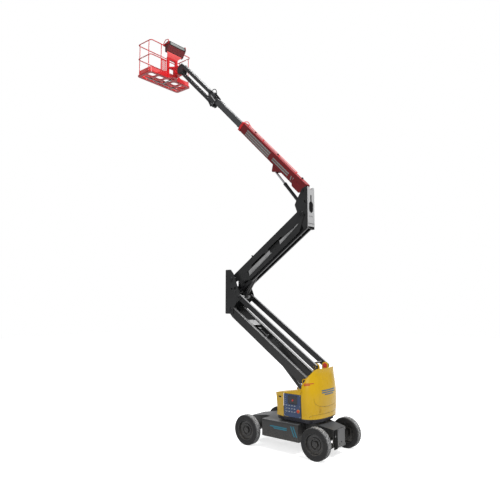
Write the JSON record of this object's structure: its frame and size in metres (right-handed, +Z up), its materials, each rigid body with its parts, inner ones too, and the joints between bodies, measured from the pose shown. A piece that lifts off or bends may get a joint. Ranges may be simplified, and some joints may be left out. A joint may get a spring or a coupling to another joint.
{
  "type": "articulating boom lift",
  "caption": "Self-propelled articulating boom lift with two-stage folding riser, telescopic boom, jib and rotating work platform, shown raised.",
  "frame": {"origin": "on the floor under the slewing axis", "axes": "+X forward, towards the work platform in the modelled pose; +Y to the machine's left; +Z up"},
  "size_m": [7.658, 1.902, 13.2388],
  "materials": {
    "chassis_grey": "satin",
    "cast_dark": "satin",
    "tyre": "matte",
    "rim_grey": "satin",
    "yellow": "gloss",
    "panel_blue": "satin",
    "button_red": "gloss",
    "sill_dark": "satin",
    "arm_charcoal": "satin",
    "tie_black": "gloss",
    "cylinder_black": "gloss",
    "rod_chrome": "polished",
    "boom_red": "gloss",
    "collar_red": "gloss",
    "pad_black": "matte",
    "fly_grey": "satin",
    "jib_grey": "satin",
    "basket_red": "gloss",
    "bar_grey": "satin",
    "console_grey": "satin"
  },
  "bodies": {
    "chassis": {"chassis_box": "chassis_grey", "drive_end_frame": "chassis_grey", "steer_end_frame": "chassis_grey", "drive_axle": "cast_dark", "steer_axle": "cast_dark", "slew_ring": "cast_dark"},
    "knuckle_left": {"knuckle_left": "cast_dark"},
    "knuckle_right": {"knuckle_right": "cast_dark"},
    "turntable": {"turntable_frame": "yellow", "cover_sill": "sill_dark", "counterweight": "cast_dark", "tail_hood": "yellow", "control_box": "panel_blue", "stop_button": "button_red"},
    "cover_left": {"side_cover_left": "yellow"},
    "cover_right": {"side_cover_right": "yellow"},
    "boom": {"main_boom": "boom_red", "boom_collar": "collar_red", "wear_pads": "pad_black", "hose_guide": "boom_red"},
    "fly": {"fly_boom": "fly_grey"},
    "platform": {"platform_mount": "basket_red", "platform_floor": "basket_red", "floor_bar_long": "bar_grey", "floor_bar_cross": "bar_grey", "platform_rails": "basket_red", "toe_boards": "basket_red", "console": "console_grey", "mesh_panel": "basket_red", "console_guard_left": "basket_red", "console_guard_right": "basket_red", "console_support": "basket_red"},
    "entry_bar": {"entry_bar": "basket_red"},
    "wheel_drive_left": {"tyre_drive_left": "tyre", "rim_drive_left": "rim_grey"},
    "wheel_drive_right": {"tyre_drive_right": "tyre", "rim_drive_right": "rim_grey"},
    "wheel_steer_left": {"tyre_steer_left": "tyre", "rim_steer_left": "rim_grey"},
    "wheel_steer_right": {"tyre_steer_right": "tyre", "rim_steer_right": "rim_grey"},
    "lower_arm": {"lower_arm": "arm_charcoal"},
    "lower_ties": {"lower_ties": "tie_black"},
    "mid_riser": {"mid_riser": "arm_charcoal"},
    "upper_arm": {"upper_arm": "arm_charcoal"},
    "upper_ties": {"upper_ties": "tie_black"},
    "upper_riser": {"upper_riser": "arm_charcoal"},
    "lower_barrel": {"lower_barrel": "cylinder_black"},
    "lower_rod": {"lower_rod": "rod_chrome"},
    "upper_barrel": {"upper_barrel": "cylinder_black"},
    "upper_rod": {"upper_rod": "rod_chrome"},
    "boom_barrel": {"boom_barrel": "cylinder_black"},
    "boom_rod": {"boom_rod": "rod_chrome"},
    "jib_base": {"jib_base": "jib_grey"},
    "jib": {"jib": "jib_grey"},
    "jib_bar": {"jib_bar": "jib_grey"},
    "jib_head": {"jib_head": "jib_grey", "rotator_housing": "basket_red"},
    "jib_barrel": {"jib_barrel": "cylinder_black"},
    "jib_rod": {"jib_rod": "rod_chrome"}
  },
  "joints": [
    {"name": "drive_spin_left", "type": "hinge", "parent": "chassis", "child": "wheel_drive_left", "pos_m": [1.105, 0.75, 0.4], "axis": [0, 1, 0], "continuous": true},
    {"name": "drive_spin_right", "type": "hinge", "parent": "chassis", "child": "wheel_drive_right", "pos_m": [1.105, -0.75, 0.4], "axis": [0, 1, 0], "continuous": true},
    {"name": "steer_left", "type": "hinge", "parent": "chassis", "child": "knuckle_left", "pos_m": [-1.105, 0.55, 0.4], "axis": [0, 0, 1], "range_deg": [-35, 35]},
    {"name": "steer_right", "type": "hinge", "parent": "chassis", "child": "knuckle_right", "pos_m": [-1.105, -0.55, 0.4], "axis": [0, 0, 1], "range_deg": [-35, 35]},
    {"name": "steer_spin_left", "type": "hinge", "parent": "knuckle_left", "child": "wheel_steer_left", "pos_m": [-1.105, 0.75, 0.4], "axis": [0, 1, 0], "continuous": true},
    {"name": "steer_spin_right", "type": "hinge", "parent": "knuckle_right", "child": "wheel_steer_right", "pos_m": [-1.105, -0.75, 0.4], "axis": [0, 1, 0], "continuous": true},
    {"name": "turntable_slew", "type": "hinge", "parent": "chassis", "child": "turntable", "pos_m": [0, 0, 0.84], "axis": [0, 0, 1], "range_deg": [-177.5, 177.5]},
    {"name": "cover_left_open", "type": "hinge", "parent": "turntable", "child": "cover_left", "pos_m": [-0.56322, 0.362, 1.61029], "axis": [0.9839, 0, -0.1788], "range_deg": [0, 65]},
    {"name": "cover_right_open", "type": "hinge", "parent": "turntable", "child": "cover_right", "pos_m": [-0.56322, -0.362, 1.61029], "axis": [-0.9839, 0, 0.1788], "range_deg": [0, 65]},
    {"name": "lower_arm_raise", "type": "hinge", "parent": "turntable", "child": "lower_arm", "pos_m": [-0.489, 0, 1.797], "axis": [0, -1, 0], "range_deg": [-42, 35]},
    {"name": "lower_ties_swing", "type": "hinge", "parent": "turntable", "child": "lower_ties", "pos_m": [-0.803, 0, 2.185], "axis": [0, -1, 0], "range_deg": [-42, 35]},
    {"name": "mid_riser_level", "type": "hinge", "parent": "lower_arm", "child": "mid_riser", "pos_m": [2.15756, 0, 3.63641], "axis": [0, 1, 0], "range_deg": [-42, 35]},
    {"name": "upper_arm_raise", "type": "hinge", "parent": "mid_riser", "child": "upper_arm", "pos_m": [2.13456, 0, 4.53541], "axis": [0, 1, 0], "range_deg": [-42, 35]},
    {"name": "upper_ties_swing", "type": "hinge", "parent": "mid_riser", "child": "upper_ties", "pos_m": [1.99956, 0, 4.16441], "axis": [0, 1, 0], "range_deg": [-42, 35]},
    {"name": "upper_riser_level", "type": "hinge", "parent": "upper_arm", "child": "upper_riser", "pos_m": [-0.33915, 0, 6.2869], "axis": [0, -1, 0], "range_deg": [-42, 35]},
    {"name": "lower_barrel_swing", "type": "hinge", "parent": "turntable", "child": "lower_barrel", "pos_m": [-0.33, 0, 1.4], "axis": [0, -1, 0], "range_deg": [-39.35, 32.88]},
    {"name": "lower_rod_slide", "type": "slide", "parent": "lower_barrel", "child": "lower_rod", "axis": [0.7079, 0, 0.7063], "range_m": [-0.305, 0.2545]},
    {"name": "upper_barrel_swing", "type": "hinge", "parent": "mid_riser", "child": "upper_barrel", "pos_m": [1.84356, 0, 4.02441], "axis": [0, 1, 0], "range_deg": [-35.17, 29.39]},
    {"name": "upper_rod_slide", "type": "slide", "parent": "upper_barrel", "child": "upper_rod", "axis": [-0.5753, 0, 0.818], "range_m": [-0.4157, 0.3467]},
    {"name": "boom_luff", "type": "hinge", "parent": "upper_riser", "child": "boom", "pos_m": [-0.407, 0, 6.967], "axis": [0, -1, 0], "range_deg": [-50, 30]},
    {"name": "boom_barrel_swing", "type": "hinge", "parent": "upper_riser", "child": "boom_barrel", "pos_m": [-0.3, 0, 6.5], "axis": [0, -1, 0], "range_deg": [-43.1, 26.06]},
    {"name": "boom_rod_slide", "type": "slide", "parent": "boom_barrel", "child": "boom_rod", "axis": [0.634, 0, 0.7733], "range_m": [-0.3685, 0.2219]},
    {"name": "fly_extend", "type": "slide", "parent": "boom", "child": "fly", "axis": [0.7071, 0, 0.7071], "range_m": [-1.25, 0.65]},
    {"name": "jib_base_level", "type": "hinge", "parent": "fly", "child": "jib_base", "pos_m": [3.07692, 0, 10.47637], "axis": [0, 1, 0], "range_deg": [-50, 30]},
    {"name": "jib_luff", "type": "hinge", "parent": "jib_base", "child": "jib", "pos_m": [3.33, 0, 10.49], "axis": [0, -1, 0], "range_deg": [-110, 20]},
    {"name": "jib_bar_swing", "type": "hinge", "parent": "jib_base", "child": "jib_bar", "pos_m": [3.32585, 0, 10.77853], "axis": [0, -1, 0], "range_deg": [-110, 20]},
    {"name": "jib_head_level", "type": "hinge", "parent": "jib", "child": "jib_head", "pos_m": [4.74449, 0, 11.88975], "axis": [0, 1, 0], "range_deg": [-110, 20]},
    {"name": "jib_barrel_swing", "type": "hinge", "parent": "jib_base", "child": "jib_barrel", "pos_m": [3.25, 0, 10.33], "axis": [0, -1, 0], "range_deg": [-103.41, 19.21]},
    {"name": "jib_rod_slide", "type": "slide", "parent": "jib_barrel", "child": "jib_rod", "axis": [0.6802, 0, 0.733], "range_m": [-0.2479, 0.0467]},
    {"name": "platform_rotate", "type": "hinge", "parent": "jib_head", "child": "platform", "pos_m": [5.15, 0, 12.06], "axis": [0, 0, 1], "range_deg": [-80, 80]},
    {"name": "entry_bar_lift", "type": "hinge", "parent": "platform", "child": "entry_bar", "pos_m": [5.524, -0.898, 12.506], "axis": [0, -1, 0], "range_deg": [0, 80]}
  ],
  "couplings": [
    {"joint": "steer_right", "follows": "steer_left", "ratio": 1},
    {"joint": "lower_ties_swing", "follows": "lower_arm_raise", "ratio": 1},
    {"joint": "mid_riser_level", "follows": "lower_arm_raise", "ratio": 1},
    {"joint": "upper_arm_raise", "follows": "lower_arm_raise", "ratio": 1},
    {"joint": "upper_ties_swing", "follows": "lower_arm_raise", "ratio": 1},
    {"joint": "upper_riser_level", "follows": "lower_arm_raise", "ratio": 1},
    {"joint": "lower_barrel_swing", "follows": "lower_arm_raise", "ratio": 0.925},
    {"joint": "lower_rod_slide", "follows": "lower_arm_raise", "m_per_rad": 0.4133},
    {"joint": "upper_barrel_swing", "follows": "lower_arm_raise", "ratio": 0.8254},
    {"joint": "upper_rod_slide", "follows": "lower_arm_raise", "m_per_rad": 0.5643},
    {"joint": "boom_barrel_swing", "follows": "boom_luff", "ratio": 0.852},
    {"joint": "boom_rod_slide", "follows": "boom_luff", "m_per_rad": 0.42},
    {"joint": "jib_base_level", "follows": "boom_luff", "ratio": 1},
    {"joint": "jib_bar_swing", "follows": "jib_luff", "ratio": 1},
    {"joint": "jib_head_level", "follows": "jib_luff", "ratio": 1},
    {"joint": "jib_barrel_swing", "follows": "jib_luff", "ratio": 0.9355},
    {"joint": "jib_rod_slide", "follows": "jib_luff", "m_per_rad": 0.1281}
  ]
}
